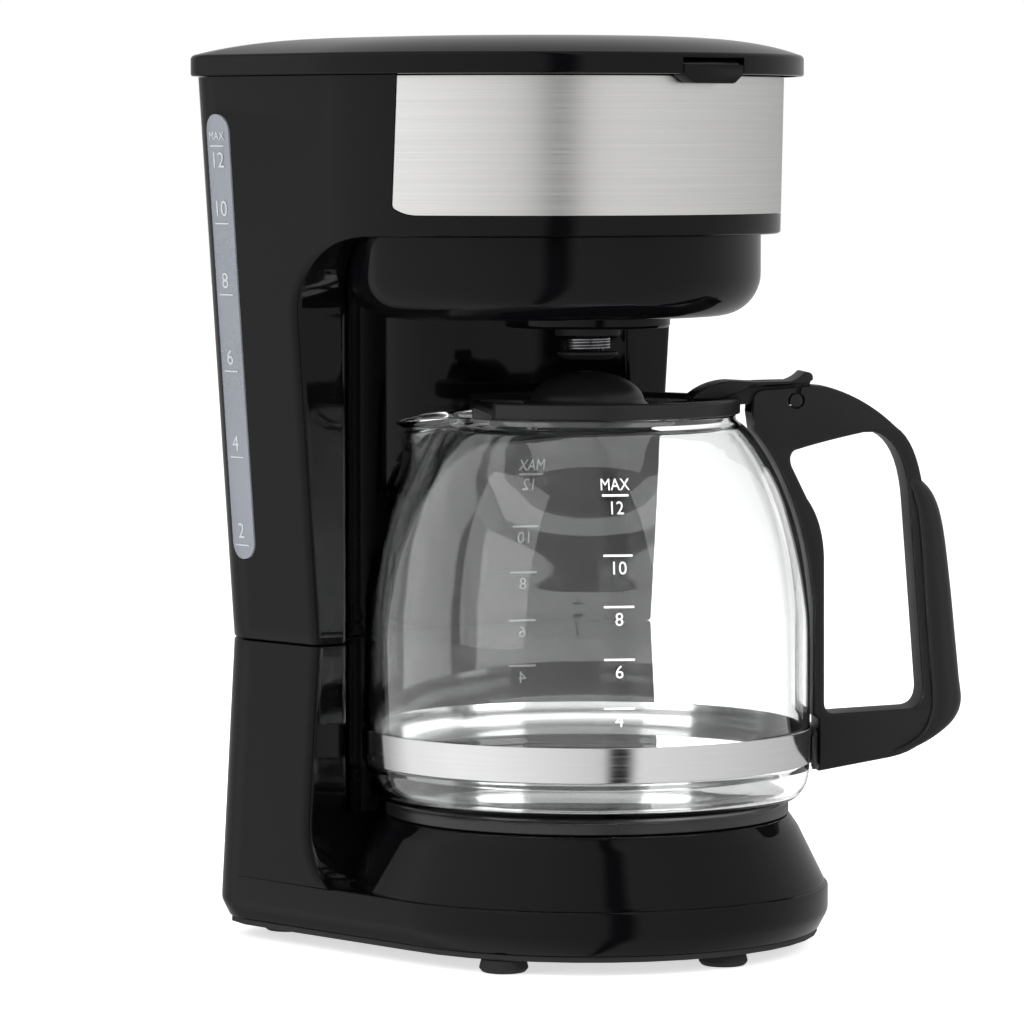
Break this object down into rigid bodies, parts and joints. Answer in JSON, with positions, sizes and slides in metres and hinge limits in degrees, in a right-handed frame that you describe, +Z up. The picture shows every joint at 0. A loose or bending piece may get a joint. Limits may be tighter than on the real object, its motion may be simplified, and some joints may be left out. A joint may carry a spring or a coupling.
{
  "type": "drip coffee maker",
  "caption": "Drip coffee maker with a hinged lid, steel-wrapped head, rear water tank with a side level window, hot plate, and a glass carafe with a lidded handle.",
  "frame": {"origin": "middle of the whole object's box at the height of the feet", "axes": "+Z up, -Y towards the front where the carafe comes out, +X to the right seen from the front"},
  "size_m": [0.216, 0.2078, 0.3193],
  "materials": {
    "gloss_black": "polished moulded plastic",
    "matt_black": "fine spark-eroded texture",
    "brushed_steel": "brushed across",
    "polished_band": "polished",
    "fastener_steel": "zinc plated",
    "cast_aluminium": "as cast",
    "plate_coating": "non-stick coating, satin",
    "clear_glass": "clear borosilicate",
    "clear_plastic": "smoky translucent moulding",
    "black_rubber": "matt",
    "silicone": "milky, satin",
    "ceramic": "glazed ceramic or heat-proof moulding",
    "gold_mesh": "plated fine mesh"
  },
  "bodies": {
    "machine": {"upper_housing": "gloss_black", "lower_housing": "gloss_black", "head_bowl": "gloss_black", "base_cover": "matt_black", "top_deck": "matt_black", "spray_arm": "matt_black", "shower_plate": "matt_black", "switch_frame": "matt_black", "brew_basket": "matt_black", "valve_seat": "matt_black", "steel_band": "brushed_steel", "heater_clamp": "fastener_steel", "clamp_screw": "fastener_steel", "valve_spring": "fastener_steel", "hinge_pin_left": "fastener_steel", "hinge_pin_right": "fastener_steel", "cover_screw_1": "fastener_steel", "cover_screw_2": "fastener_steel", "cover_screw_3": "fastener_steel", "cover_screw_4": "fastener_steel", "heating_element": "cast_aluminium", "thermal_fuse": "cast_aluminium", "warming_plate": "plate_coating", "water_window": "clear_plastic", "reservoir": "clear_plastic", "plate_seal": "black_rubber", "cord_inlet": "black_rubber", "foot_1": "black_rubber", "foot_2": "black_rubber", "foot_3": "black_rubber", "foot_4": "black_rubber", "foot_5": "black_rubber", "tank_strainer": "silicone", "cold_hose": "silicone", "riser_tube": "silicone", "thermostat": "ceramic", "terminal_block": "ceramic", "mesh_filter": "gold_mesh"},
    "lid": {"lid_shell": "gloss_black", "lid_tab": "gloss_black", "lid_liner": "matt_black"},
    "carafe": {"carafe_glass": "clear_glass", "carafe_band": "polished_band", "handle_saddle": "matt_black", "handle_body": "gloss_black", "grip_pad": "matt_black", "saddle_screw": "fastener_steel", "lid_pin": "fastener_steel"},
    "carafe_lid": {"carafe_lid": "gloss_black"},
    "valve": {"valve_plunger": "matt_black"},
    "rocker": {"power_rocker": "gloss_black"}
  },
  "joints": [
    {"name": "lid_hinge", "type": "hinge", "parent": "machine", "child": "lid", "pos_m": [-0.00856, 0.1003, 0.3026], "axis": [-1, 0, 0], "range_deg": [0, 88]},
    {"name": "carafe_slide", "type": "slide", "parent": "machine", "child": "carafe", "axis": [0, -1, 0], "range_m": [0, 0.2]},
    {"name": "carafe_lid_hinge", "type": "hinge", "parent": "carafe", "child": "carafe_lid", "pos_m": [0.05196, -0.05972, 0.1916], "axis": [0.5592, 0.829, 0], "range_deg": [0, 2.5]},
    {"name": "drip_valve", "type": "slide", "parent": "machine", "child": "valve", "axis": [0, 0, -1], "range_m": [0, 0.004], "stiffness_N_per_m": 60, "springref_m": 0.006, "deforming": ["valve_spring"]},
    {"name": "power_switch", "type": "hinge", "parent": "machine", "child": "rocker", "pos_m": [0.0755, 0.0631, 0.058], "axis": [0, 0, -1], "range_deg": [0, 8]}
  ],
  "couplings": [
    {"joint": "drip_valve", "follows": "carafe_slide", "ratio": 0.02}
  ]
}
